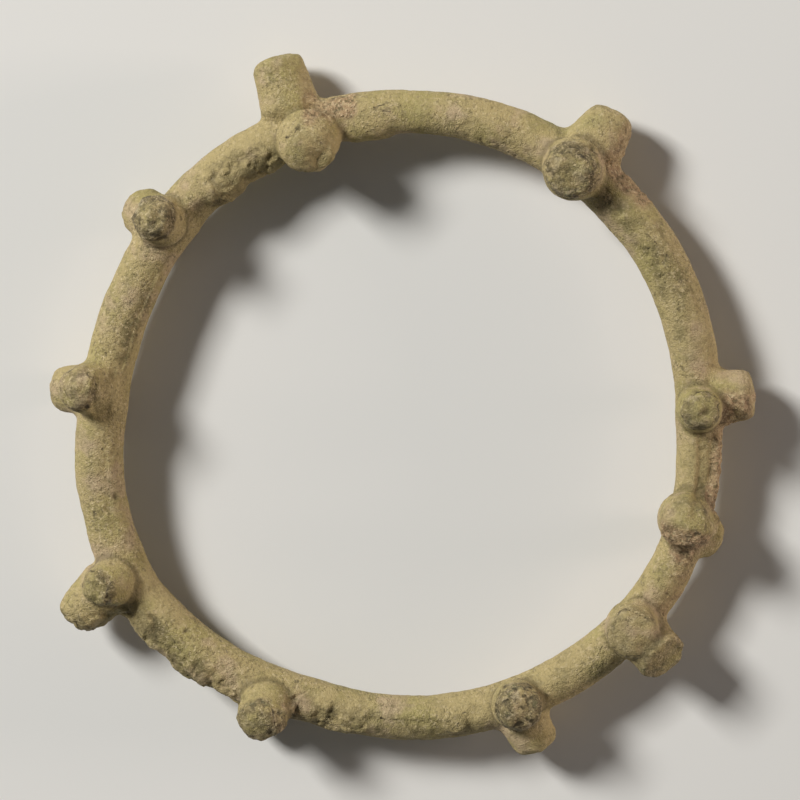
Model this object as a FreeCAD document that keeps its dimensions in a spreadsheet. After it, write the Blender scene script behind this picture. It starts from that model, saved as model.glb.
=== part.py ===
import FreeCAD, Part
import Sketcher
import math
import os

# A cast bronze bracelet: a closed hoop of round bar that carries short round knobs.
# The knobs sit at ten stations round the hoop, two at each station. A front knob
# stands up on the face, and an outer knob points away from the hoop.
# The bracelet lies flat. The hoop's axis is +Z, the front knobs point up, and the
# origin is on the table under the hoop's centre. The outer knobs that dip the most
# touch the table with their rims and carry the hoop clear of it.

# The driving sizes, in millimetres
SIZES = {
    "hoop_bore": 70.0,
    "bar_diameter": 6.0,
    "front_knob_diameter": 6.4,
    "front_knob_rise": 4.1,
    "outer_knob_diameter": 6.3,
    "outer_knob_rise": 4.4,
    "rim_rounding": 1.1,
    "end_crown": 0.3,
}

# The hoop was bent by hand, so its centre line is not a true circle and its bar
# swells and thins. Both lists run counter-clockwise from +X in equal steps.
hoop_radius_shares = [
    0.980, 0.995, 1.007, 1.012, 1.007, 0.997, 0.990, 0.987, 0.978, 0.975,
    1.002, 1.057, 1.086, 1.060, 1.020, 1.020, 1.022, 1.020, 1.024, 1.010,
]
bar_shares = [
    0.95, 0.99, 1.01, 1.04, 0.93, 0.90, 0.97, 0.98, 1.05, 1.02,
    1.06, 1.04, 1.03, 1.08, 0.96, 0.94, 0.95, 0.93, 0.93, 0.90,
]

# The angles of the ten stations, counter-clockwise from +X
station_angles = [4, 55, 108, 142, 176, 211, 245, 293, 319, 341]

# How the knobs stand, station by station. A shift moves a knob along the hoop from its
# station. A tilt is 90 straight up, 0 straight outward and negative towards the table.
# A lean is along the bar. Shift and lean are positive counter-clockwise.
front_shift_angles = [-1.0, 0.0, -0.2, -1.0, 0.0, 0.5, 0.5, -1.1, 0.3, 1.0]
front_tilt_angles = [82, 92, 114, 72, 69, 65, 62, 88, 85, 93]
front_lean_angles = [4, 1, -3, -4, -4, -8, 4, 16, 1, 2]
outer_shift_angles = [0.5, -0.5, 2.0, 0.5, 1.0, -0.5, 0.0, -0.7, 0.0, -1.0]
outer_tilt_angles = [0, -8, -4, -33, -27, 4, -30, -8, 35, -58]
outer_lean_angles = [1, 3, -2, 6, 4, 13, 0, 1, 1, -14]

# Shares of the driving sizes for each knob: its diameter, its rise out of the bar,
# its end's width over its root's, and the rounding of its rim.
knob_shares = {
    "front_knob_01": (0.86, 1.00, 0.86, 0.8),
    "front_knob_02": (1.16, 1.00, 0.90, 1.4),
    "front_knob_03": (1.18, 1.08, 0.90, 1.2),
    "front_knob_04": (0.94, 1.00, 0.95, 1.6),
    "front_knob_05": (1.02, 1.08, 0.94, 1.9),
    "front_knob_06": (0.90, 1.00, 0.88, 1.2),
    "front_knob_07": (0.98, 1.10, 0.96, 1.4),
    "front_knob_08": (0.94, 1.00, 0.92, 0.8),
    "front_knob_09": (1.06, 0.96, 0.97, 1.0),
    "front_knob_10": (1.12, 1.02, 0.95, 1.9),
    "outer_knob_01": (1.03, 0.90, 0.97, 0.9),
    "outer_knob_02": (1.16, 1.14, 0.86, 1.5),
    "outer_knob_03": (1.12, 1.48, 0.92, 1.0),
    "outer_knob_04": (1.00, 0.82, 0.96, 1.4),
    "outer_knob_05": (1.02, 1.00, 0.94, 1.3),
    "outer_knob_06": (1.10, 1.54, 0.88, 1.8),
    "outer_knob_07": (0.98, 0.90, 0.95, 1.1),
    "outer_knob_08": (0.98, 0.95, 0.95, 1.0),
    "outer_knob_09": (1.04, 0.95, 1.00, 0.4),
    "outer_knob_10": (1.02, 0.61, 0.92, 1.2),
}

# How many circles the hoop is lofted through
hoop_section_count = 30

# How a knob grows out of the bar. Its root starts inside the bar, spreads to the bar's
# skin and narrows to the shaft above it. The root's depth and width are shares of the
# bar's radius, and the neck's height is a share of the shaft's length.
root_depth_share = 0.35
root_width_share = 0.84
skin_width_share = 1.10
neck_height_share = 0.40
# How much of a quarter round is gone at its middle
bevel_share = 1 - math.sqrt(0.5)

# How the sketcher numbers its own origin and the two ends of a line
origin_index = -1
line_start_index = 1
line_end_index = 2

full_turn_angle = 360

DOCUMENT = FreeCAD.newDocument("bronze_bracelet")


def make_sheet(sizes):
    """Put the driving sizes into a sheet, each under its own alias."""
    sheet = DOCUMENT.addObject("Spreadsheet::Sheet", "sizes")
    for row, (name, value) in enumerate({**sizes, "bar_height": 0}.items(), start=1):
        sheet.set(f"A{row}", name)
        sheet.set(f"B{row}", str(value))
        sheet.setAlias(f"B{row}", name)
    return sheet


def share_at(shares, angle):
    """Read a list of shares round the hoop at any angle, as a smooth curve through them."""
    place = (angle % full_turn_angle) / full_turn_angle * len(shares)
    step = int(place)
    way = place - step
    before, start, end, after = (shares[(step + shift) % len(shares)] for shift in (-1, 0, 1, 2))
    slope = (end - before) / 2
    end_slope = (after - start) / 2
    rise = end - start
    bend = 3 * rise - 2 * slope - end_slope
    twist = slope + end_slope - 2 * rise
    return round(start + way * (slope + way * (bend + way * twist)), 5)


def station_index(name):
    """Give the place of a knob's station in the lists by station."""
    return int(name[-2:]) - 1


def at_knob(name, front_values, outer_values):
    """Read a knob's value from the list for its kind."""
    values = front_values if name.startswith("front") else outer_values
    return values[station_index(name)]


def knob_place(name):
    """Give the angle on the hoop at which a knob stands."""
    shift = at_knob(name, front_shift_angles, outer_shift_angles)
    return station_angles[station_index(name)] + shift


def bind_to_bar(item, angle):
    """Place an object on the bar's centre line at an angle, at the bar's height."""
    share = share_at(hoop_radius_shares, angle)
    centre_radius = f"(sizes.hoop_bore + sizes.bar_diameter) / 2 * {share}"
    item.setExpression("Placement.Base.x", f"{centre_radius} * cos({angle} deg)")
    item.setExpression("Placement.Base.y", f"{centre_radius} * sin({angle} deg)")
    item.setExpression("Placement.Base.z", "sizes.bar_height")


def make_hoop():
    """Loft a closed ring through circles of uneven size."""
    sections = []
    for number in range(hoop_section_count):
        angle = number * full_turn_angle / hoop_section_count
        circle = DOCUMENT.addObject("Part::Circle", f"bar_section_{number + 1:02d}")
        circle.setExpression("Radius", f"sizes.bar_diameter / 2 * {share_at(bar_shares, angle)}")
        outward = FreeCAD.Vector(math.cos(math.radians(angle)), math.sin(math.radians(angle)), 0)
        along = FreeCAD.Vector(-outward.y, outward.x, 0)
        up = FreeCAD.Vector(0, 0, 1)
        circle.Placement.Rotation = FreeCAD.Rotation(outward, up * -1, along, "ZXY")
        bind_to_bar(circle, angle)
        sections.append(circle)
    hoop = DOCUMENT.addObject("Part::Loft", "hoop")
    hoop.Label = "hoop"
    hoop.Sections = sections
    hoop.Solid = True
    hoop.Ruled = True
    hoop.Closed = True
    return hoop


def knob_outline(name):
    """Give the corners of the knob's half profile, from the axis inside the bar to the
    axis at the knob's end. Each has a name, a radius and a height over the bar's centre."""
    kind = name[:name.index("_")]
    angle = knob_place(name)
    diameter_share, rise_share, taper_share, rounding_share = knob_shares[name]
    bar = f"sizes.bar_diameter / 2 * {share_at(bar_shares, angle)}"
    radius = f"sizes.{kind}_knob_diameter / 2 * {diameter_share}"
    end = f"{radius} * {taper_share}"
    rounding = f"sizes.rim_rounding * {rounding_share}"
    top = f"{bar} + sizes.{kind}_knob_rise * {rise_share}"
    neck = f"{bar} + (sizes.{kind}_knob_rise * {rise_share} - {rounding}) * {neck_height_share}"
    return [
        ("base", "0", f"{bar} * {root_depth_share}"),
        ("root", f"{bar} * {root_width_share}", f"{bar} * {root_depth_share}"),
        ("skin", f"{radius} * {skin_width_share}", bar),
        ("neck", radius, neck),
        ("shoulder", end, f"{top} - {rounding}"),
        ("bevel", f"{end} - {rounding} * {bevel_share}", f"{top} - {rounding} * {bevel_share}"),
        ("rim", f"{end} - {rounding}", top),
        ("crown", "0", f"{top} + sizes.end_crown"),
    ]


def knob_axes(name):
    """Give the knob's own directions: along the bar, across it, and up the knob."""
    angle = math.radians(knob_place(name))
    tilt = math.radians(at_knob(name, front_tilt_angles, outer_tilt_angles))
    lean = math.radians(at_knob(name, front_lean_angles, outer_lean_angles))
    outward = FreeCAD.Vector(math.cos(angle), math.sin(angle), 0)
    along = FreeCAD.Vector(-math.sin(angle), math.cos(angle), 0)
    up = FreeCAD.Vector(0, 0, 1)
    tilted = outward * math.cos(tilt) + up * math.sin(tilt)
    axis = tilted * math.cos(lean) + along * math.sin(lean)
    length_way = along * math.cos(lean) - tilted * math.sin(lean)
    return length_way, axis.cross(length_way), axis


def draw_profile(body, name):
    """Draw the knob's half profile on the body's upright plane, its corners held by the
    sheet. The sketch's own upright axis is the knob's axis."""
    sketch = body.newObject("Sketcher::SketchObject", f"{name}_profile")
    plane = next(item for item in body.Origin.OriginFeatures if item.Role == "XZ_Plane")
    sketch.AttachmentSupport = (plane, [""])
    sketch.MapMode = "FlatFace"
    corners = knob_outline(name)
    rough = [FreeCAD.Vector(place, place * place, 0) for place in range(len(corners))]
    for place, start in enumerate(rough):
        sketch.addGeometry(Part.LineSegment(start, rough[(place + 1) % len(rough)]))
    for place, (corner, radius, height) in enumerate(corners):
        line_before = (place - 1) % len(corners)
        sketch.addConstraint(
            Sketcher.Constraint("Coincident", line_before, line_end_index, place, line_start_index)
        )
        for way, size in (("DistanceX", radius), ("DistanceY", height)):
            number = sketch.addConstraint(
                Sketcher.Constraint(way, origin_index, line_start_index, place, line_start_index, 0)
            )
            sketch.renameConstraint(number, f"{corner}_{way[-1].lower()}")
            sketch.setExpression(f"Constraints.{corner}_{way[-1].lower()}", size)
    return sketch


def make_knob_blank(name):
    """Turn a knob from its profile and stand it on the bar, its root inside."""
    body = DOCUMENT.addObject("PartDesign::Body", f"{name}_blank")
    sketch = draw_profile(body, name)
    turned = body.newObject("PartDesign::Revolution", f"{name}_turned")
    turned.Profile = sketch
    turned.ReferenceAxis = (sketch, ["V_Axis"])
    turned.Angle = full_turn_angle
    body.Placement.Rotation = FreeCAD.Rotation(*knob_axes(name), "ZXY")
    bind_to_bar(body, knob_place(name))
    return body


def lowest_reach(name, blank):
    """Work out how far a knob reaches below the bar's centre line."""
    slope = knob_axes(name)[2].z
    spread = math.sqrt(1 - slope ** 2)
    corners = [line.StartPoint for line in blank.Group[0].Geometry]
    return max(corner.x * spread - corner.y * slope for corner in corners)


def set_bar_height(sheet, blanks):
    """Lift the hoop until the knob that dips the most just touches the table."""
    row = len(SIZES) + 1
    DOCUMENT.recompute()
    reaches = [lowest_reach(name, blank) for name, blank in blanks.items()]
    reaches.append(SIZES["bar_diameter"] / 2 * max(bar_shares))
    sheet.set(f"B{row}", str(round(max(reaches), 4)))
    for name, blank in blanks.items():
        print(name, "reaches", round(lowest_reach(name, blank), 2), "below the bar's centre line")


def cut_from(base, tool, name):
    """Cut the tool's shape out of the base."""
    cut = DOCUMENT.addObject("Part::Cut", name)
    cut.Label = name
    cut.Base = base
    cut.Tool = tool
    cut.Refine = False
    return cut


def seat_knobs(hoop, blanks):
    """Cut each knob to the bar, and each outer knob to the front knob beside it."""
    seated = []
    for name, blank in blanks.items():
        if name.startswith("front"):
            seated.append(cut_from(blank, hoop, name))
        else:
            front_blank = blanks[name.replace("outer", "front")]
            on_bar = cut_from(blank, hoop, f"{name}_on_bar")
            seated.append(cut_from(on_bar, front_blank, name))
    return seated


def check_and_save(parts):
    """Stop if anything in the document failed, then write each part's solid."""
    DOCUMENT.recompute()
    for item in DOCUMENT.Objects:
        if "Invalid" in item.State or "Error" in item.State:
            raise RuntimeError(f"{item.Name} did not build: {item.State}")
    os.makedirs("parts", exist_ok=True)
    total = 0
    for part in parts:
        shape = part.Shape
        if shape.isNull() or not shape.isValid():
            raise RuntimeError(f"{part.Label} has no valid shape")
        if len(shape.Solids) != 1:
            raise RuntimeError(f"{part.Label} is {len(shape.Solids)} solids instead of one")
        total += shape.Volume
        shape.exportStep(f"parts/{part.Label}.step")
        print(part.Label, "volume", round(shape.Volume, 1))
    print("total volume", round(total, 1))


sizes_sheet = make_sheet(SIZES)
hoop_part = make_hoop()
knob_blanks = {name: make_knob_blank(name) for name in knob_shares}
set_bar_height(sizes_sheet, knob_blanks)
check_and_save([hoop_part] + seat_knobs(hoop_part, knob_blanks))
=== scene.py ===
# %% [markdown]
# A cast bronze bracelet
#
# The real thing is a closed hoop of round bar with ten pairs of short knobs. Its maker
# rolled the hoop and the knobs in wax, pressed them together and cast the whole in
# bronze. After many centuries in the ground it has a rough khaki skin of corrosion,
# with darker knob ends, pits, and patches of sandy crust.
#
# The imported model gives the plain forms. This lesson melts them together as the wax
# was, wears and corrodes the surface, cuts it back into the same named pieces, and
# then colours and lights them.

import math

import bmesh
import bpy
import numpy
from mathutils import Matrix, Vector, noise
from mathutils.bvhtree import BVHTree


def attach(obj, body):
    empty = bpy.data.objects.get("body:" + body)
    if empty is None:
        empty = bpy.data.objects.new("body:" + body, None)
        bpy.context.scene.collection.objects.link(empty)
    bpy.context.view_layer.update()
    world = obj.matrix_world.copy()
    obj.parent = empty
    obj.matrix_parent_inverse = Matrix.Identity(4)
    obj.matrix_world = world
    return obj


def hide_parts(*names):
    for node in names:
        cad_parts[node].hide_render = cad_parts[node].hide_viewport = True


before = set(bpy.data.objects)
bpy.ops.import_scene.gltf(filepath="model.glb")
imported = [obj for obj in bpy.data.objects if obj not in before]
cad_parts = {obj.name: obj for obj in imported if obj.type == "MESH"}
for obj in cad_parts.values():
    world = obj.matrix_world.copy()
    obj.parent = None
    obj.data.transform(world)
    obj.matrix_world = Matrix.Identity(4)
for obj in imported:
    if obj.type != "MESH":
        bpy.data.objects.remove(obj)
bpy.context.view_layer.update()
piece_names = sorted(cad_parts)
knob_names = [name for name in piece_names if name != "hoop"]

# %% [markdown]
# The work is done in millimetres, because a knob is only six of them across, and the
# finished pieces are brought to metres at the end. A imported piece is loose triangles,
# so a copy has its doubled corners merged before anything else happens to it.

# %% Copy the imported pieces
MM = 0.001
MERGE_DISTANCE = 0.0005


def copy_of(name):
    """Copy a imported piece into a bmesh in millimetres, with its corners merged."""
    shape = bmesh.new()
    shape.from_mesh(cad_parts[name].data)
    bmesh.ops.scale(shape, vec=Vector((1, 1, 1)) / MM, verts=shape.verts)
    bmesh.ops.remove_doubles(shape, verts=shape.verts, dist=MERGE_DISTANCE)
    bmesh.ops.recalc_face_normals(shape, faces=shape.faces)
    return shape


plain = {name: copy_of(name) for name in piece_names}
trees = {name: BVHTree.FromBMesh(shape) for name, shape in plain.items()}
print("hoop has", len(plain["hoop"].faces), "triangles after merging")

# %% [markdown]
# Much of the wear is placed by where it lies on the bar, so the bar's centre line is
# measured first. The hoop isn't a true circle: its radius is read at each of the rings
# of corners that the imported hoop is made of, and blended between them.

# %% Measure the bar
def hoop_angle(point):
    """Give the angle round the hoop, in degrees counter-clockwise from +X."""
    return math.degrees(math.atan2(point.y, point.x)) % 360


ring_radii = {}
for corner in plain["hoop"].verts:
    ring_radii.setdefault(round(hoop_angle(corner.co)) % 360, []).append(corner.co.xy.length)
ring_angles = sorted(ring_radii)
ring_centres = [(min(ring_radii[ring]) + max(ring_radii[ring])) / 2 for ring in ring_angles]
centre_radii = numpy.interp(range(360), ring_angles, ring_centres, period=360).tolist()
hoop_heights = [corner.co.z for corner in plain["hoop"].verts]
BAR_HEIGHT = (min(hoop_heights) + max(hoop_heights)) / 2


def bar_centre(point):
    """Give the point of the bar's centre line beside a point."""
    angle = hoop_angle(point)
    radius = centre_radii[round(angle) % 360]
    turn = math.radians(angle)
    return Vector((radius * math.cos(turn), radius * math.sin(turn), BAR_HEIGHT))


def bar_side(point):
    """Give where a point lies round the bar: 0 outside, 90 on the face, 180 inside."""
    centre = bar_centre(point)
    return math.degrees(math.atan2(point.z - centre.z, point.xy.length - centre.xy.length))


print(
    len(ring_angles), "rings, centre line",
    round(min(ring_centres), 2), "to", round(max(ring_centres), 2), "mm",
)

# %% [markdown]
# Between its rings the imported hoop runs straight, but wax bends round evenly. The long
# edges of a copy are divided, and the new corners move outward from the chord to the
# arc, by the most halfway between two rings.

# %% Bend the bar between its rings
RING_STEP = 360 / len(ring_angles)
BAR_CUTS = 5


def bend_bar(shape):
    """Divide the bar's straight stretches and move them out to a round curve."""
    long_edges = [
        edge for edge in shape.edges
        if round(hoop_angle(edge.verts[0].co)) % 360 != round(hoop_angle(edge.verts[1].co)) % 360
    ]
    bmesh.ops.subdivide_edges(shape, edges=long_edges, cuts=BAR_CUTS, use_grid_fill=True)
    half_step = math.cos(math.radians(RING_STEP / 2))
    for corner in shape.verts:
        past_ring = hoop_angle(corner.co) % RING_STEP
        from_middle = math.radians(past_ring - RING_STEP / 2)
        growth = math.cos(from_middle) / half_step
        corner.co.x *= growth
        corner.co.y *= growth


bend_bar(plain["hoop"])
trees["hoop"] = BVHTree.FromBMesh(plain["hoop"])

# %% [markdown]
# A knob's own axis is found from its end. All the faces of the end look along the axis
# on average, because they lie evenly round it, so a few rounds of averaging settle on
# the axis whatever the first guess was.

# %% Measure the knobs
END_FACING = 0.8
AXIS_ROUNDS = 6
RIM_BELOW = 2.2


def measure_knob(name):
    """Find a knob's root on the bar, its axis, the middle of its end and its radius."""
    shape = plain[name]
    middle = sum((corner.co for corner in shape.verts), Vector()) / len(shape.verts)
    root = bar_centre(middle)
    axis = (middle - root).normalized()
    for _ in range(AXIS_ROUNDS):
        end_faces = [face for face in shape.faces if face.normal.dot(axis) > END_FACING]
        axis = sum((face.normal * face.calc_area() for face in end_faces), Vector()).normalized()
    area = sum(face.calc_area() for face in end_faces)
    end = sum((face.calc_center_median() * face.calc_area() for face in end_faces), Vector()) / area
    rim = [corner.co - end for corner in shape.verts if (corner.co - end).dot(axis) > -RIM_BELOW]
    radius = max(reach.cross(axis).length for reach in rim)
    return {"root": root, "axis": axis, "end": end, "radius": radius, "angle": hoop_angle(root)}


knobs = {name: measure_knob(name) for name in knob_names}
for name in knob_names[:3]:
    end_place = [round(value, 2) for value in knobs[name]["end"]]
    print(name, "end", end_place, "radius", round(knobs[name]["radius"], 2))

# %% [markdown]
# In wax the knobs were pushed onto the bar and the joints smeared smooth. Booleans
# would leave a hard line round each knob. A voxel remesh melts everything that
# overlaps into one skin of even small squares, which can then be smoothed at the
# joints and worn all over. Each knob's foot is first sunk into the bar, so that the
# shapes overlap and don't just touch.

# %% Press the knobs into the bar
FOOT_TOUCH = 0.05
FOOT_SINK = 0.8


def sink_foot(name):
    """Push the part of a knob that touches another piece a little way into the bar."""
    others = [trees["hoop"]]
    if "outer" in name:
        others.append(trees[name.replace("outer", "front")])
    for corner in plain[name].verts:
        gaps = [tree.find_nearest(corner.co)[3] for tree in others]
        if min(gaps) < FOOT_TOUCH:
            corner.co += (bar_centre(corner.co) - corner.co).normalized() * FOOT_SINK


wax_mesh = bpy.data.meshes.new("wax")
melted = bmesh.new()
for name in piece_names:
    if name in knobs:
        sink_foot(name)
    plain[name].to_mesh(wax_mesh)
    melted.from_mesh(wax_mesh)
melted.to_mesh(wax_mesh)
melted.free()

# %% Melt everything into one skin
VOXEL = 0.25

wax = bpy.data.objects.new("wax", wax_mesh)
bpy.context.scene.collection.objects.link(wax)
remesh = wax.modifiers.new("melt", "REMESH")
remesh.mode = "VOXEL"
remesh.voxel_size = VOXEL
graph = bpy.context.evaluated_depsgraph_get()
melted_mesh = bpy.data.meshes.new_from_object(wax.evaluated_get(graph))
bpy.data.objects.remove(wax)

skin = bmesh.new()
skin.from_mesh(melted_mesh)
skin.verts.ensure_lookup_table()
print("one skin of", len(skin.faces), "squares")

# %% [markdown]
# The smeared joints are concave, and the knobs' rims are convex. Smoothing everything
# alike would wear the rims away while it fills the joints, so only the corners near a
# joint are smoothed much. The outer knobs flow into the bar in a wide sweep, and the
# front knobs sit on it with a tighter crease.

# %% Smear the joints smooth
JOINT_REACH = 1.7
STATION_REACH = 8.5
WIDE_ROUNDS = 36
TIGHT_ROUNDS = 12
SKIN_ROUNDS = 3
SMOOTHING = 0.5
WIDE_JOINTED = ("outer", "front_knob_05")


def turn_between(first, last):
    """Give the smaller angle between two angles."""
    return abs((first - last + 180) % 360 - 180)


beside = [
    [name for name in knob_names if turn_between(angle, knobs[name]["angle"]) < STATION_REACH]
    for angle in range(360)
]


def knobs_beside(point):
    """List the knobs that are near enough to a point to matter there."""
    return beside[round(hoop_angle(point)) % 360]


def gap_to(name, point):
    """Measure how far a point is from a plain piece."""
    return trees[name].find_nearest(point)[3]


wide_joints, tight_joints = [], []
# At a tight joint the gap to the second piece is kept, so that shade can be painted into the crease
# later
crease_layer = skin.verts.layers.float.new("crease_gap")
for corner in skin.verts:
    corner[crease_layer] = JOINT_REACH
    gaps = {name: gap_to(name, corner.co) for name in knobs_beside(corner.co)}
    if gaps:
        gaps["hoop"] = gap_to("hoop", corner.co)
        nearest, second = sorted(gaps, key=gaps.get)[:2]
        if gaps[second] < JOINT_REACH:
            on_bar = "hoop" in (nearest, second)
            if on_bar and any(kind in nearest + second for kind in WIDE_JOINTED):
                wide_joints.append(corner)
            else:
                tight_joints.append(corner)
                corner[crease_layer] = gaps[second]
smoothed = [(wide_joints, WIDE_ROUNDS), (tight_joints, TIGHT_ROUNDS), (skin.verts, SKIN_ROUNDS)]
for corners, rounds in smoothed:
    for _ in range(rounds):
        bmesh.ops.smooth_vert(
            skin, verts=corners, factor=SMOOTHING, use_axis_x=True, use_axis_y=True, use_axis_z=True
        )
print(len(wide_joints), "corners lie near a wide joint,", len(tight_joints), "near a tight one")

# %% [markdown]
# Corrosion and crust aren't the same everywhere. Each patch below is a stretch of the
# hoop, from one angle to another, on one side of the bar. A patch fades out at its
# edges, and noise breaks those edges up so that they look ragged.

# %% Say where the surface is crusted or stained, and where shadow is painted
# Each patch: first and last angle, side of the bar, how far round it spreads, strength
sand_crust = [
    (343, 358, 14, 40, 1.0),
    (322, 341, 40, 55, 0.5),
    (40, 53, 20, 45, 0.8),
    (6, 24, 55, 50, 0.35),
    (97, 107, 50, 45, 0.8),
    (334, 342, 85, 40, 0.8),
    (-3, 6, 10, 50, 0.8),
    (62, 76, -75, 40, 0.7),
    (322, 336, -95, 45, 0.7),
    (196, 204, -60, 40, 0.7),
]
lumpy_crust = [
    (214, 243, 30, 75, 1.0),
    (248, 268, 70, 60, 0.9),
    (274, 285, 60, 50, 0.5),
    (113, 132, 125, 60, 0.9),
    (60, 82, 130, 50, 0.5),
    (196, 206, 110, 50, 0.5),
    (26, 50, 95, 40, 0.5),
    (84, 100, -80, 50, 0.8),
    (150, 168, -100, 50, 0.7),
    (300, 312, -70, 50, 0.7),
    (222, 238, -100, 45, 0.6),
    (18, 32, -90, 45, 0.6),
]
# Dark stains, and two patches of painted shadow that are listed with them
dark_stains_and_shadows = [
    (152, 172, 124, 26, 0.9),
    # Painted shadow at the foot of front knob 5, not a stain
    (172, 181, 104, 18, 0.5),
    (344, 358, 67, 24, 0.9),
    (122, 138, 130, 36, 0.6),
    (180, 206, 100, 40, 0.35),
    (216, 236, 60, 50, 0.7),
    (12, 50, 85, 60, 0.7),
    # Painted shadow on outer knob 1, where its front knob shades it, not a stain
    (-6, 7, 10, 50, 0.7),
    (314, 330, 60, 50, 0.4),
    (250, 285, 60, 55, 0.7),
    (60, 90, 120, 45, 0.45),
    (20, 44, -90, 55, 0.7),
    (182, 202, -100, 50, 0.7),
    (262, 286, -110, 50, 0.7),
    (118, 140, -75, 50, 0.6),
]
# Each lump: its angle and side, how far it reaches, how high it stands, both in mm, and
# what share of its reach is its flat top. A dent has a height below zero.
lumps_and_dents = [
    (96.0, 165, 4.2, 0.55, 0.35),
    (118.0, 140, 4.5, 0.35, 0.35),
    (127.5, 145, 3.4, 0.55, 0.50),
    (135.0, 150, 3.0, -0.45, 0.40),
    (222.0, 40, 3.0, 0.30, 0.35),
    (231.0, 20, 3.5, 0.35, 0.35),
    (237.0, 75, 2.6, -0.30, 0.45),
    (252.0, 75, 2.2, 0.30, 0.60),
    (257.0, 62, 2.2, -0.32, 0.50),
    (262.0, 80, 2.4, 0.26, 0.60),
    (280.9, 80, 1.9, 0.45, 0.60),
    (278.2, 106, 1.3, 0.26, 0.30),
    (285.0, 100, 1.2, -0.20, 0.50),
    (66.0, 95, 4.0, -0.18, 0.35),
    (38.0, 120, 4.0, -0.15, 0.35),
    (200.0, 60, 6.0, -0.18, 0.35),
    (328.0, 110, 4.0, 0.15, 0.35),
]
# Each ridge: its first and last angle, its side, half its width and its height, in mm.
# A groove has a height below zero.
ridges_and_grooves = [
    (343.5, 358.5, 65, 1.65, -0.48),
    (344, 358, 28, 0.7, 0.30),
    (264, 277, 118, 1.4, 0.20),
    (20, 50, 30, 1.2, -0.20),
    (150, 172, 150, 1.0, 0.18),
    (186, 205, 140, 1.1, 0.15),
    (172, 181, 104, 1.0, -0.30),
]
# Each hairline crack: its first and last angle, and its side at both
hair_cracks = [
    (88, 95, 95, 75),
    (91, 99, 60, 88),
    (266.6, 277.6, 98, 96),
    (266.5, 267.2, 98, 64),
    (278.2, 283.7, 102, 103),
    (283.7, 282.7, 100, 57),
    (30, 38, 60, 80),
    (222, 228, 110, 80),
    (152, 158, 120, 100),
]
HOOP_RADIUS, BAR_RADIUS = 38, 3
# A patch starts to fade at these shares of its half length and of its spread, and is
# gone at the last. A ridge has a flat top of this share of its half width.
FADE_ALONG, FADE_ROUND, PATCH_END = 0.6, 0.5, 1.3
RIDGE_FLAT = 0.55
# The gap in mm that stands for no crack near by
NO_CRACK = 9


def fade(value, start, end):
    """Rise smoothly from 0 at the start to 1 at the end."""
    share = min(max((value - start) / (end - start), 0), 1)
    return share * share * (3 - 2 * share)


def patch_strength(patches, angle, side):
    """Add up how strongly the patches of a list reach a place on the bar."""
    total = 0
    for first, last, patch_side, spread, strength in patches:
        away = turn_between(angle, (first + last) / 2) / (last - first) * 2
        turned = turn_between(side, patch_side) / spread
        if away < PATCH_END and turned < PATCH_END:
            along_share = 1 - fade(away, FADE_ALONG, PATCH_END)
            round_share = 1 - fade(turned, FADE_ROUND, PATCH_END)
            total += strength * along_share * round_share
    return total


def along_hoop(first, last):
    """Give the way along the hoop between two angles, in mm."""
    return math.radians(turn_between(first, last)) * HOOP_RADIUS


def across_bar(first, last):
    """Give the way round the bar between two sides, in mm."""
    return math.radians(turn_between(first, last)) * BAR_RADIUS


def lump_height(angle, side):
    """Add up the lumps, dents, ridges and grooves at a place on the bar."""
    total = 0
    for lump_angle, lump_side, reach, height, flat_share in lumps_and_dents:
        away = math.hypot(along_hoop(angle, lump_angle), across_bar(side, lump_side))
        total += height * (1 - fade(away, flat_share * reach, reach))
    for first, last, ridge_side, half_width, height in ridges_and_grooves:
        beyond = along_hoop(angle, (first + last) / 2) - along_hoop(first, last) / 2
        across = across_bar(side, ridge_side)
        if beyond < 1 and across < half_width:
            along_share = 1 - fade(beyond, -1, 1)
            across_share = 1 - fade(across, RIDGE_FLAT * half_width, half_width)
            total += height * along_share * across_share
    return total


def hair_crack_gap(angle, side, shake):
    """Measure how far a place on the bar is from the nearest hairline crack, in mm."""
    gap = NO_CRACK
    for first, last, first_side, last_side in hair_cracks:
        share = turn_between(angle, first) / turn_between(last, first)
        if share < 1 and turn_between(angle, last) < turn_between(last, first):
            line_side = first_side + (last_side - first_side) * share
            gap = min(gap, abs(across_bar(side, line_side) + shake))
    return gap


# %% [markdown]
# The wear itself is a stack of small moves along the surface's own direction: slow
# swells from the hand-rolled wax, a fine roughness, spongy crust, flaking plates, and
# pits where the metal was eaten. All of it is noise at a stated size in millimetres.
# Noise is read at points that are themselves shaken a little, which breaks up the
# even look of plain noise.

# %% Wear the surface
SWELL_SIZE, SWELL_DEPTH = 7.0, 0.15
RIPPLE_SIZE, RIPPLE_DEPTH = 2.4, 0.08
GRAIN_SIZE, GRAIN_DEPTH = 0.9, 0.05
COBBLE_SIZE, COBBLE_DEPTH = 1.15, 0.34
PLATE_SIZE, PLATE_DEPTH = 2.6, 0.26
PIT_SPACING, PIT_DEPTH = 2.6, 0.20
# How far a pit reaches as a share of the spacing, how much more it can reach by chance,
# and the chance below which there is none
PIT_REACH, PIT_EXTRA_REACH, LEAST_CHANCE = 0.07, 0.13, 0.15
# The height between the creases and the tops of the crust's lumps that counts as level
CRUST_LEVEL = 0.35
# How dark the crust's creases, the ground between its plates and the pits are
CREASE_TONE, BETWEEN_TONE, PIT_TONE = 0.45, 0.18, 0.6
# The shaking would be drawn anew at each start, so its draw is fixed here
SHAKE_DRAW = 1
noise.seed_set(SHAKE_DRAW)


def ripple(point, size, shift=0):
    """Read smooth noise of a stated size, between about -1 and 1."""
    return noise.noise(point / size + Vector((shift, shift, shift)))


def shaken(point, size, amount):
    """Move a point a little, by noise of a stated size."""
    return point + noise.noise_vector(point / size) * amount


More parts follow.
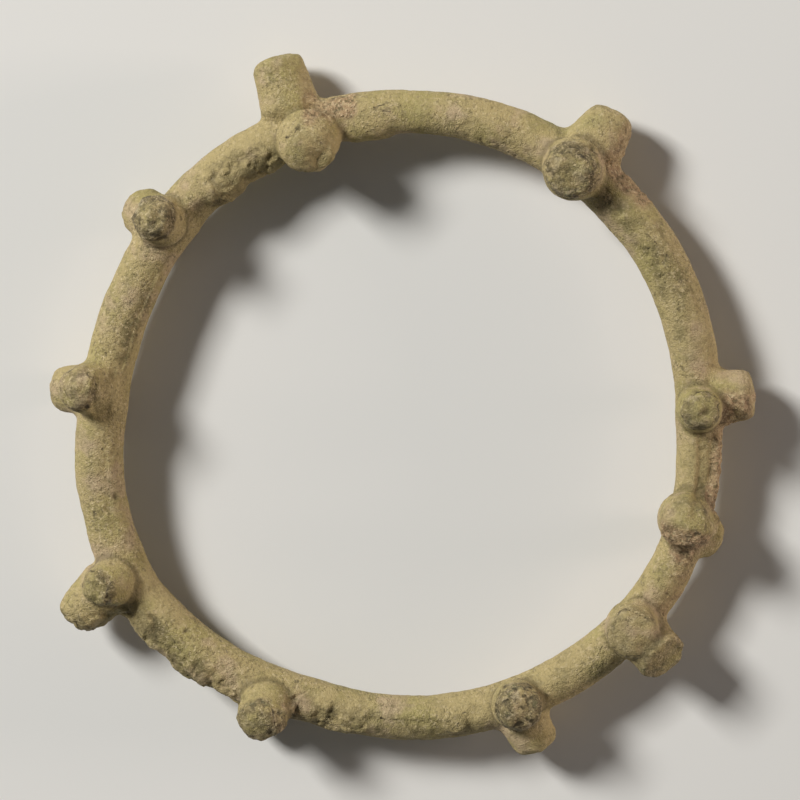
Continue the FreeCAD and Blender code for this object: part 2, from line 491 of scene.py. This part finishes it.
def rough(point, size):
    """Read noise with finer noise on top of it, between about -1 and 1."""
    return noise.fractal(point / size, 0.9, 2.1, 3)


def cobble(point, size):
    """Read rounded lumps of a stated size: near 1 on top of a lump, 0 in a crease."""
    distances, _ = noise.voronoi(shaken(point, 0.9, 0.35) / size)
    return 1 - min(distances[0] * 1.3, 1)


def pit(point):
    """Read scattered pits: 1 at the bottom of a pit and 0 where there is none."""
    distances, centres = noise.voronoi(shaken(point, 0.8, 0.25) / PIT_SPACING)
    chance = noise.cell(centres[0] * 7.3)
    reach = PIT_REACH + PIT_EXTRA_REACH * abs(chance)
    return (1 - fade(distances[0], 0.3 * reach, reach)) * (chance > LEAST_CHANCE)


def wear_at(point):
    """Work out how far the surface moves at a point, and the tones that go with it."""
    angle, side = hoop_angle(point), bar_side(point)
    ragged = 0.5 + 0.5 * ripple(point, 1.6, 3) + 0.4 * ripple(point, 4, 9)
    sand = fade(patch_strength(sand_crust, angle, side) * (0.4 + ragged), 0.2, 0.9)
    plates = fade(patch_strength(lumpy_crust, angle, side) * (0.4 + ragged), 0.25, 0.8)
    stain = fade(patch_strength(dark_stains_and_shadows, angle, side) * (0.3 + ragged), 0.25, 0.9)
    move = SWELL_DEPTH * ripple(point, SWELL_SIZE) + RIPPLE_DEPTH * ripple(point, RIPPLE_SIZE, 5)
    move += GRAIN_DEPTH * rough(point, GRAIN_SIZE) + lump_height(angle, side)
    dark = 0
    if max(sand, plates) > 0:
        lump = cobble(point, COBBLE_SIZE)
        crust = max(sand, 0.7 * plates)
        move += crust * COBBLE_DEPTH * (lump - CRUST_LEVEL)
        dark += CREASE_TONE * crust * fade(0.22 - lump, 0, 0.2)
    if plates > 0:
        top = fade(rough(shaken(point, 2.0, 0.6), PLATE_SIZE), -0.10, 0.08)
        move += plates * PLATE_DEPTH * (top - 0.5)
        dark += BETWEEN_TONE * plates * (1 - top)
    hole = pit(point)
    move -= PIT_DEPTH * hole * (0.5 + 0.5 * max(sand, plates))
    return move, dark + PIT_TONE * hole, sand, stain


# %% [markdown]
# The ends of the knobs have their own wear. The front ones are darker and more
# crumbly, and on some a crack runs part of the way round, where the cap and the wax
# below it never quite became one.

# %% Wear the knobs' ends
# For some knobs: how deep the crack on the end is, how rough the end is, how dark it is
# and how strongly it is chipped into facets, as shares, and where the crack runs, as a
# share of the knob's radius. A dark share above 1 darkens the end's middle as well.
cap_wear_shares = {
    "front_knob_01": (0.8, 0.8, 0.70, 0.6, 0.86),
    "front_knob_02": (0.6, 1.0, 0.95, 0.9, 0.78),
    "front_knob_03": (0.3, 0.5, 0.02, 1.0, 0.92),
    "front_knob_04": (0.1, 0.6, 1.10, 1.0, 0.95),
    "front_knob_05": (0.8, 0.4, 0.55, 0.8, 0.90),
    "front_knob_06": (0.8, 0.9, 0.70, 0.8, 0.92),
    "front_knob_07": (0.3, 1.0, 0.82, 0.6, 0.92),
    "front_knob_08": (0.3, 0.9, 1.80, 0.9, 0.88),
    "front_knob_09": (0.7, 0.4, 0.35, 0.5, 0.93),
    "front_knob_10": (0.2, 0.5, 0.30, 0.8, 0.95),
    "outer_knob_09": (0.0, 0.5, 0.60, 0.3, 0.95),
    "outer_knob_06": (0.4, 0.6, 0.30, 0.9, 0.80),
}
# Ridges and dents on the knobs' ends: right and up from the end's middle, how far they
# reach and how high they stand, in mm
cap_bumps = [
    ("front_knob_04", 0.2, 0.7, 1.3, 0.40),
    ("front_knob_04", 0.1, -0.3, 1.2, 0.30),
    ("front_knob_05", 0.3, 0.2, 1.6, 0.30),
    ("front_knob_03", -0.8, 1.0, 1.8, 0.25),
    ("front_knob_03", 1.2, -0.4, 1.6, -0.25),
    ("front_knob_02", -1.0, 0.8, 1.4, 0.20),
    ("front_knob_02", 0.6, -1.0, 1.8, -0.25),
    ("front_knob_01", -0.5, 0.4, 1.1, 0.22),
    ("front_knob_06", -0.6, -0.6, 1.2, 0.25),
    ("front_knob_06", 1.0, 0.5, 1.2, -0.25),
    ("front_knob_10", 0.8, -0.6, 1.8, 0.20),
    ("front_knob_09", 1.6, -1.4, 1.4, -0.20),
    ("outer_knob_06", -1.0, -1.2, 1.6, 0.25),
    ("outer_knob_06", 0.3, -0.2, 0.9, -0.30),
    ("outer_knob_02", 1.0, -0.8, 1.6, 0.20),
    ("outer_knob_09", 1.8, 0.8, 1.0, -0.25),
]
OUTER_WEAR_SHARES = (0, 0.4, 0.12, 0.6, 1)
# How far the dark of an end comes down the knob's side, in mm
CAP_DARK_REACH = 1.4
cap_dark_reaches = {
    "front_knob_02": 2.5,
    "front_knob_04": 1.8,
    "front_knob_07": 1.9,
    "front_knob_08": 2.7,
}
# How far beyond a knob's radius, and below the dark of its end, its wear still counts
PAST_RADIUS, PAST_DARK = 1.2, 1
CRACK_WIDTH, CRACK_DEPTH = 0.30, 0.12
CAP_GRAIN_SIZE, CAP_GRAIN_DEPTH = 1.1, 0.15
FACET_SIZE, FACET_DEPTH = 2.4, 0.55
# How dark the painted shade is in the tight creases round the knobs
PAINTED_CREASE_SHADE = 0.5


def cap_wear_at(point):
    """Work out the extra move on a knob's end, its dark gaps, how dark it is by itself with
    painted shade growing towards its rim, and how far the point is from the crack."""
    for name in knobs_beside(point):
        knob = knobs[name]
        above = (point - knob["end"]).dot(knob["axis"])
        out = ((point - knob["end"]).cross(knob["axis"])).length
        dark_reach = cap_dark_reaches.get(name, CAP_DARK_REACH)
        if above < -dark_reach - PAST_DARK or out > knob["radius"] + PAST_RADIUS:
            continue
        crack_share, rough_share, dark_share, facet_share, ring = cap_wear_shares.get(
            name, OUTER_WEAR_SHARES
        )
        edge = -dark_reach + 0.8 * ripple(point, 2.0, 15) + 0.5 * ripple(point, 0.8, 15)
        on_cap = fade(above, edge - 0.4, edge + 0.4)
        crack_line = ring * knob["radius"]
        crack_line += 0.9 * ripple(point, 2.5, 4)
        crack_line += 0.35 * ripple(point, 0.9, 4)
        broken = fade(ripple(point, 3.2, 8), -0.6 * crack_share, 0.1)
        broken *= crack_share * fade(above, -1.8, -1.2)
        crack_gap = abs(out - crack_line) if broken > 0.2 else NO_CRACK
        crack = broken * (1 - fade(crack_gap, 0, CRACK_WIDTH))
        grains = rough(shaken(point, 0.9, 0.5), CAP_GRAIN_SIZE)
        facets = noise.voronoi(shaken(point, 2, 0.5) / FACET_SIZE)[0][0]
        move = on_cap * rough_share * CAP_GRAIN_DEPTH * grains - CRACK_DEPTH * crack
        move += on_cap * facet_share * FACET_DEPTH * (0.45 - facets)
        offset = point - knob["end"]
        for bump_name, right, up, reach, height in cap_bumps:
            if bump_name == name:
                away = (offset.xy - Vector((right, up))).length
                move += on_cap * height * (1 - fade(away, 0.1, reach))
        gap = on_cap * dark_share * fade(-grains, 0.2, 0.6)
        # The end's own darker tone grows towards its rim: this part is painted shade of the rounded edge
        rim = fade(out / knob["radius"], 0.35, 0.95)
        return move, 0.7 * gap, on_cap * dark_share * (0.5 + 0.6 * rim), crack_gap
    return 0, 0, 0, NO_CRACK


skin.normal_update()
tone_layer = skin.verts.layers.float_color.new("tones")
crack_layer = skin.verts.layers.float.new("crack_gap")
moves = []
for corner in skin.verts:
    move, dark, sand, stain = wear_at(corner.co)
    cap_move, cap_dark, cap, cap_crack = cap_wear_at(corner.co)
    shake = 0.25 * ripple(corner.co, 1.0, 12)
    bar_crack = hair_crack_gap(hoop_angle(corner.co), bar_side(corner.co), shake)
    moves.append(corner.normal * (move + cap_move))
    # Painted shade in the tight creases between knob and bar or knob and knob
    crease = PAINTED_CREASE_SHADE * (1 - fade(corner[crease_layer] + shake, 0.1, 0.9))
    corner[tone_layer] = (min(max(dark, cap_dark, crease), 1), sand, stain, min(cap, 1))
    corner[crack_layer] = min(cap_crack, bar_crack)
for corner, move in zip(skin.verts, moves):
    corner.co += move
    corner.co.z = max(corner.co.z, 0)
print("deepest move", round(max(move.length for move in moves), 2), "mm")

# %% [markdown]
# The worn skin is cut back into the bracelet's pieces along the middle of each joint.
# For every corner the nearest plain piece is known, and where an edge runs from one
# piece's ground to another's, it is cut at the point that is as near to both. The cut
# points are then joined across the faces, which draws a clean line round each knob.

# %% Draw the cutting lines
EDGE_MARGIN = 0.02
KNOB_REACH = 13

bmesh.ops.triangulate(skin, faces=skin.faces)
skin.normal_update()
normal_layer = skin.verts.layers.float_vector.new("skin_normal")
for corner in skin.verts:
    corner[normal_layer] = corner.normal


def draw_line_round(name):
    """Cut the skin's edges where a knob's ground ends, and join the cuts."""
    knob = knobs[name]
    rivals = ["hoop"] + [other for other in knobs_beside(knob["root"]) if other != name]
    near = [corner for corner in skin.verts if (corner.co - knob["root"]).length < KNOB_REACH]
    lead = {}
    for corner in near:
        rival_gap = min(gap_to(other, corner.co) for other in rivals)
        lead[corner] = gap_to(name, corner.co) - rival_gap
    crossing = {}
    # A dictionary keeps the order of the edges, so that every run cuts them alike
    for edge in dict.fromkeys(edge for corner in near for edge in corner.link_edges):
        first, last = edge.verts
        if first in lead and last in lead and lead[first] * lead[last] < 0:
            share = lead[first] / (lead[first] - lead[last])
            crossing[edge] = min(max(share, EDGE_MARGIN), 1 - EDGE_MARGIN)
    cut = bmesh.ops.bisect_edges(skin, edges=list(crossing), cuts=1, edge_percents=crossing)
    new_corners = [item for item in cut["geom_split"] if isinstance(item, bmesh.types.BMVert)]
    bmesh.ops.connect_verts(skin, verts=new_corners)
    return len(new_corners)


line_lengths = {name: draw_line_round(name) for name in knob_names}
print("cut points round the first knobs:", [line_lengths[name] for name in knob_names[:4]])

# %% [markdown]
# Now each face belongs to the piece whose plain form is nearest to its middle. Along
# the lines some faces are left over: spikes that hang on by one edge, places where a
# piece meets itself in one corner only, and islands cut off from the rest of their
# piece. They go to the piece beside them, so that each piece is one clean region.

# %% Share the faces out
for face in skin.faces:
    middle = face.calc_center_median()
    gaps = {name: gap_to(name, middle) for name in ["hoop"] + knobs_beside(middle)}
    face.material_index = piece_names.index(min(gaps, key=gaps.get))
print("faces of the hoop:", sum(face.material_index == piece_names.index("hoop") for face in skin.faces))

# %% Hand back what is left over
HAND_BACK_ROUNDS = 5


def give_spikes_back():
    """Hand each face that only hangs on to its piece by one edge to its neighbours."""
    changed = 0
    for face in skin.faces:
        around = [
            other.material_index for edge in face.edges for other in edge.link_faces if other != face
        ]
        most = max(set(around), key=around.count)
        if most != face.material_index and around.count(most) > 1:
            face.material_index = most
            changed += 1
    return changed


def untie_corners():
    """Where a piece meets itself only in one corner, hand the faces round it to one piece."""
    changed = 0
    for corner in skin.verts:
        around = [face.material_index for face in corner.link_faces]
        borders = sum(
            len({face.material_index for face in edge.link_faces}) > 1 for edge in corner.link_edges
        )
        if borders > len(set(around)):
            most = max(set(around), key=around.count)
            for face in corner.link_faces:
                face.material_index = most
            changed += 1
    return changed


def regions_of(number):
    """Gather a piece's faces into regions that hang together, the largest first."""
    waiting = {face for face in skin.faces if face.material_index == number}
    regions = []
    while waiting:
        region, reached = [], [waiting.pop()]
        while reached:
            face = reached.pop()
            region.append(face)
            across = {other for edge in face.edges for other in edge.link_faces} & waiting
            waiting -= across
            reached += across
        regions.append(region)
    return sorted(regions, key=len, reverse=True)


def give_islands_back():
    """Hand each region that is cut off from the rest of its piece to the piece round it."""
    changed = 0
    for number in range(len(piece_names)):
        for island in regions_of(number)[1:]:
            around = [
                other.material_index
                for face in island for edge in face.edges for other in edge.link_faces
                if other.material_index != number
            ]
            owner = max(set(around), key=around.count)
            for face in island:
                face.material_index = owner
            changed += 1
    return changed


for _ in range(HAND_BACK_ROUNDS):
    print("faces handed back:", give_spikes_back(), "corners untied:", untie_corners())
print("islands handed back:", give_islands_back(), "left:", give_islands_back())

# %% [markdown]
# Each face now carries its piece's number as a material number, so Blender's own
# Separate by Material cuts the skin into the pieces in one go. A piece is then open
# where the next one covered it. Its open rim is drawn a little way inward, against the
# surface's direction, and closed there, so that nothing of the closing face can show.

# %% Cut the pieces apart
skin_mesh = bpy.data.meshes.new("skin")
skin.to_mesh(skin_mesh)
skin.free()
for name in piece_names:
    skin_mesh.materials.append(bpy.data.materials.new("cut_" + name))
skin_object = bpy.data.objects.new("skin", skin_mesh)
bpy.context.scene.collection.objects.link(skin_object)
bpy.ops.object.select_all(action="DESELECT")
skin_object.select_set(True)
bpy.context.view_layer.objects.active = skin_object
bpy.ops.mesh.separate(type="MATERIAL")
parts = {part.data.materials[0].name[len("cut_"):]: part for part in bpy.context.selected_objects}
print(len(parts), "parts cut from the skin")

# %% Close the pieces
RIM_DEPTH = 0.7


def close_piece(shape):
    """Draw each open rim inward and close it. Return how many edges are still open."""
    normals_from = shape.verts.layers.float_vector["skin_normal"]
    rim = [edge for edge in shape.edges if edge.is_boundary]
    drawn = bmesh.ops.extrude_edge_only(shape, edges=rim)["geom"]
    for corner in (item for item in drawn if isinstance(item, bmesh.types.BMVert)):
        corner.co -= corner[normals_from] * RIM_DEPTH
        corner[normals_from] = (0, 0, 0)
    rim = [edge for edge in shape.edges if edge.is_boundary]
    closed = bmesh.ops.holes_fill(shape, edges=rim, sides=0)
    bmesh.ops.triangulate(shape, faces=closed["faces"])
    return sum(edge.is_boundary for edge in shape.edges)


def finish_piece(name, part):
    """Close a piece, bring it to metres and set it in place of its packed form."""
    shape = bmesh.new()
    shape.from_mesh(part.data)
    open_edges = close_piece(shape)
    bmesh.ops.scale(shape, vec=(MM, MM, MM), verts=shape.verts)
    for face in shape.faces:
        face.smooth = True
        face.material_index = 0
    normals_from = shape.verts.layers.float_vector["skin_normal"]
    normals = [corner[normals_from].copy() for corner in shape.verts]
    shape.to_mesh(part.data)
    shape.free()
    part.data.materials.clear()
    part.data.normals_split_custom_set_from_vertices(normals)
    part.name = part.data.name = name + "_worn"
    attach(part, "root")
    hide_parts(name)
    return open_edges


for name in piece_names:
    open_edges = finish_piece(name, parts[name])
    if open_edges:
        print(name, "is open at", open_edges, "edges")
face_counts = {name: len(part.data.polygons) for name, part in parts.items()}
print("hoop has", face_counts["hoop"], "faces, all have", sum(face_counts.values()))

# %% [markdown]
# Bronze that has lain in the ground is covered by a thin layer of copper and tin
# minerals mixed with soil. The metal doesn't show at all, so the finish is that of a
# matte mineral: no metallic share, a high roughness and a fine gritty grain. Its
# colour drifts slowly between khaki, yellow olive and a pinkish beige.

# %% Tools for the finish
MIX_FACTOR, MIX_A, MIX_B, MIX_RESULT = 0, 6, 7, 2


def colour(hex_code):
    """Turn an sRGB hex colour into the linear values that Blender works in."""
    linear = []
    for place in (1, 3, 5):
        value = int(hex_code[place:place + 2], 16) / 255
        linear.append(value / 12.92 if value <= 0.04045 else ((value + 0.055) / 1.055) ** 2.4)
    return (*linear, 1)


def scale_for(millimetres):
    """Give the texture scale at which a pattern repeats about once in this size."""
    return 1 / (millimetres * MM)


def add_node(tree, kind, inputs=None, **settings):
    """Add a node with its settings. An input is a value, or another node's output."""
    node = tree.nodes.new(kind)
    for key, value in settings.items():
        setattr(node, key, value)
    for key, value in (inputs or {}).items():
        if isinstance(value, bpy.types.NodeSocket):
            tree.links.new(value, node.inputs[key])
        else:
            node.inputs[key].default_value = value
    return node


# %% Colour and grain of the old bronze
KHAKI = "#AE9C6B"
CRACK_INK = 0.13
# Each layer: its colour, the size of its pattern in mm, where the pattern starts and
# where it is full, its strength, and the tone of the skin that it keeps to
colour_layers = [
    ("#A0945A", 8.0, 0.46, 0.62, 0.80, None),
    ("#B79F82", 5.5, 0.50, 0.66, 0.65, None),
    ("#8F8158", 2.0, 0.50, 0.64, 0.45, None),
    # Stains, and the painted shadows listed with them, take this dark olive
    ("#635A37", 1.2, 0.36, 0.58, 0.85, "stain"),
    # The cap mask holds the ends' own darker tone, and painted shade that grows towards their rims
    ("#6A5D41", 2.2, 0.36, 0.56, 0.85, "cap"),
    ("#5F6746", 2.6, 0.56, 0.64, 0.50, "cap"),
    ("#453C28", 0.8, 0.50, 0.60, 0.75, "cap"),
    ("#BBAA88", 1.4, 0.54, 0.64, 0.65, "cap"),
    ("#A88968", 3.0, 0.15, 0.40, 0.80, "sand"),
    ("#6B5238", 0.5, 0.50, 0.62, 0.75, "sand"),
    ("#D0B792", 0.6, 0.54, 0.64, 0.75, "sand"),
    ("#C4B080", 0.28, 0.54, 0.66, 0.45, None),
    ("#857850", 0.32, 0.54, 0.66, 0.45, None),
    ("#CBB88E", 0.45, 0.54, 0.64, 0.70, "grit"),
    ("#7A6E4A", 0.50, 0.54, 0.64, 0.70, "grit"),
    ("#4F4630", 1.3, 0.64, 0.70, 0.60, "grit"),
    # The dark mask holds pits, crust creases and plate gaps, and also the painted shade in the tight
    # joints' creases
    ("#40371F", 1.0, 0.00, 0.10, 1.00, "dark"),
    ("#352D1D", 2.5, 0.30, 0.50, 0.90, "crack"),
]
# The skin is gritty in some places and worn smoother in others: the size of these
# places in mm, and how much of the grit is left where it is smoothest
GRIT_PATCH = 5.0
LEAST_GRIT = 0.5
# The sizes of the gritty grain, how high each stands, both in mm, and whether it is
# worn off where the skin is smooth
grain_sizes = [(1.0, 0.19, True), (0.42, 0.24, True), (0.2, 0.18, False)]
# The size in mm of the places where the old bronze is more or less matte, and how
# rough it is at least and at most. Minerals shine only faintly.
GLOSS_PATCH = 1.2
LEAST_ROUGH, MOST_ROUGH = 0.60, 0.82
MINERAL_SHINE = 0.4


def buried_bronze(name):
    """Make the finish of bronze from the ground, with its tones read from the skin."""
    material = bpy.data.materials.new(name)
    material.use_nodes = True
    tree = material.node_tree
    surface = tree.nodes["Principled BSDF"]
    place = add_node(tree, "ShaderNodeTexCoord").outputs["Object"]
    tones = add_node(tree, "ShaderNodeVertexColor", layer_name="tones")
    tone = add_node(tree, "ShaderNodeSeparateColor", {"Color": tones.outputs["Color"]}).outputs
    crack_gap = add_node(tree, "ShaderNodeAttribute", attribute_name="crack_gap").outputs["Fac"]
    crack = add_node(
        tree, "ShaderNodeMapRange",
        {"Value": crack_gap, "From Min": CRACK_INK, "From Max": 0.0}, interpolation_type="SMOOTHSTEP",
    )
    grit_patches = add_node(
        tree, "ShaderNodeTexNoise", {"Vector": place, "Scale": scale_for(GRIT_PATCH), "Detail": 3.0}
    )
    worn_grit = add_node(
        tree, "ShaderNodeMapRange",
        {"Value": grit_patches.outputs["Fac"], "From Min": 0.42, "From Max": 0.60, "To Min": LEAST_GRIT},
        interpolation_type="SMOOTHSTEP",
    )
    grit = add_node(
        tree, "ShaderNodeMath", {0: worn_grit.outputs["Result"], 1: tone["Green"]}, operation="MAXIMUM"
    ).outputs[0]
    masks = {
        "dark": tone["Red"], "sand": tone["Green"], "stain": tone["Blue"], "grit": grit,
        "cap": tones.outputs["Alpha"], "crack": crack.outputs["Result"],
    }
    mixed = colour(KHAKI)
    for hex_code, millimetres, start, end, strength, mask in colour_layers:
        pattern = add_node(
            tree, "ShaderNodeTexNoise",
            {"Vector": place, "Scale": scale_for(millimetres), "Detail": 4.0, "Roughness": 0.6},
        )
        factor = add_node(
            tree, "ShaderNodeMapRange",
            {"Value": pattern.outputs["Fac"], "From Min": start, "From Max": end, "To Max": strength},
            interpolation_type="SMOOTHSTEP",
        ).outputs["Result"]
        if mask:
            factor = add_node(
                tree, "ShaderNodeMath", {0: factor, 1: masks[mask]}, operation="MULTIPLY"
            ).outputs[0]
        mix = add_node(
            tree, "ShaderNodeMix",
            {MIX_FACTOR: factor, MIX_A: mixed, MIX_B: colour(hex_code)}, data_type="RGBA",
        )
        mixed = mix.outputs[MIX_RESULT]
    tree.links.new(mixed, surface.inputs["Base Color"])

    gloss = add_node(tree, "ShaderNodeTexNoise", {"Vector": place, "Scale": scale_for(GLOSS_PATCH)})
    roughness = add_node(
        tree, "ShaderNodeMapRange",
        {
            "Value": gloss.outputs["Fac"], "From Min": 0.3, "From Max": 0.7,
            "To Min": LEAST_ROUGH, "To Max": MOST_ROUGH,
        },
    )
    tree.links.new(roughness.outputs["Result"], surface.inputs["Roughness"])
    surface.inputs["Metallic"].default_value = 0.0
    surface.inputs["Specular IOR Level"].default_value = MINERAL_SHINE

    bump = None
    for millimetres, height, wears_off in grain_sizes:
        grain = add_node(
            tree, "ShaderNodeTexNoise",
            {"Vector": place, "Scale": scale_for(millimetres), "Detail": 3.0, "Roughness": 0.6},
        )
        inputs = {"Height": grain.outputs["Fac"], "Distance": height * MM, "Strength": 1.0}
        if wears_off:
            inputs["Strength"] = grit
        if bump:
            inputs["Normal"] = bump.outputs["Normal"]
        bump = add_node(tree, "ShaderNodeBump", inputs)
    tree.links.new(bump.outputs["Normal"], surface.inputs["Normal"])
    return material


old_bronze = buried_bronze("buried_bronze")
for name, part in parts.items():
    part.data.materials.append(old_bronze)
print("finish has", len(old_bronze.node_tree.nodes), "nodes")

# %% [markdown]
# The bracelet lies on a plain pale table under a large soft lamp from the upper left
# of the picture and a weaker one from the right, with even light from all round. The
# camera looks down from the same side as the photograph's, a little right of and
# above the hoop's axis, through a long lens.

# %% The table
FLOOR_HALF = 1.5
FLOOR_ROUGHNESS, FLOOR_SHINE = 0.8, 0.15

floor_shape = bmesh.new()
bmesh.ops.create_grid(floor_shape, x_segments=1, y_segments=1, size=FLOOR_HALF)
floor_mesh = bpy.data.meshes.new("table_top")
floor_shape.to_mesh(floor_mesh)
floor_shape.free()
floor = bpy.data.objects.new("table_top", floor_mesh)
bpy.context.scene.collection.objects.link(floor)
pale_paint = bpy.data.materials.new("pale_paint")
pale_paint.use_nodes = True
paint = pale_paint.node_tree.nodes["Principled BSDF"].inputs
paint["Base Color"].default_value = colour("#DEDCD6")
paint["Roughness"].default_value = FLOOR_ROUGHNESS
paint["Specular IOR Level"].default_value = FLOOR_SHINE
floor_mesh.materials.append(pale_paint)

# %% The lamps
LAMP_DISTANCE = 1.4
KEY_WIDTH, KEY_SHARE = 0.37, 1.2
SIDE_WIDTH, SIDE_SHARE = 0.30, 0.5
ROOM_STRENGTH = 0.10

middle = Vector((0, 0, BAR_HEIGHT * MM))


def add_lamp(name, toward, width, share, hex_code):
    """Hang a square lamp that gives this share of full light to a surface facing it."""
    data = bpy.data.lights.new(name, "AREA")
    data.size = width
    data.energy = share * math.pi ** 2 * LAMP_DISTANCE ** 2
    data.color = colour(hex_code)[:3]
    lamp = bpy.data.objects.new(name, data)
    direction = Vector(toward).normalized()
    lamp.location = middle + direction * LAMP_DISTANCE
    lamp.rotation_euler = direction.to_track_quat("Z", "Y").to_euler()
    bpy.context.scene.collection.objects.link(lamp)


add_lamp("key_lamp", (-0.82, 0.68, 0.9), KEY_WIDTH, KEY_SHARE, "#FFFFFF")
add_lamp("side_lamp", (1.0, 0.12, 0.13), SIDE_WIDTH, SIDE_SHARE, "#FFECE4")

room = bpy.data.worlds.new("studio")
room.use_nodes = True
even_light = room.node_tree.nodes["Background"].inputs
even_light["Color"].default_value = colour("#F2F2F2")
even_light["Strength"].default_value = ROOM_STRENGTH
bpy.context.scene.world = room
bpy.context.scene.view_settings.view_transform = "Standard"

# %% The camera
PICTURE_SIZE = 800
PIXELS_PER_MM = 8
CAMERA_DISTANCE = 0.45
CAMERA_RIGHT = 9.0
CAMERA_ABOVE = 9.0
HOOP_BELOW_MIDDLE = 15
SENSOR = 36

turn, lift = math.radians(CAMERA_RIGHT), math.radians(CAMERA_ABOVE)
back = Vector((math.sin(turn) * math.cos(lift), math.sin(lift), math.cos(turn) * math.cos(lift)))
across = Vector((0, 1, 0)).cross(back).normalized()
upward = back.cross(across)
camera_data = bpy.data.cameras.new("camera")
camera_data.sensor_width = SENSOR
camera_data.lens = PIXELS_PER_MM / MM * CAMERA_DISTANCE * SENSOR / PICTURE_SIZE
camera_data.shift_y = HOOP_BELOW_MIDDLE / PICTURE_SIZE
camera = bpy.data.objects.new("camera", camera_data)
camera.matrix_world = Matrix((across, upward, back)).transposed().to_4x4()
camera.location = middle + back * CAMERA_DISTANCE
bpy.context.scene.collection.objects.link(camera)
bpy.context.scene.camera = camera
print("lens", round(camera_data.lens, 1), "mm")
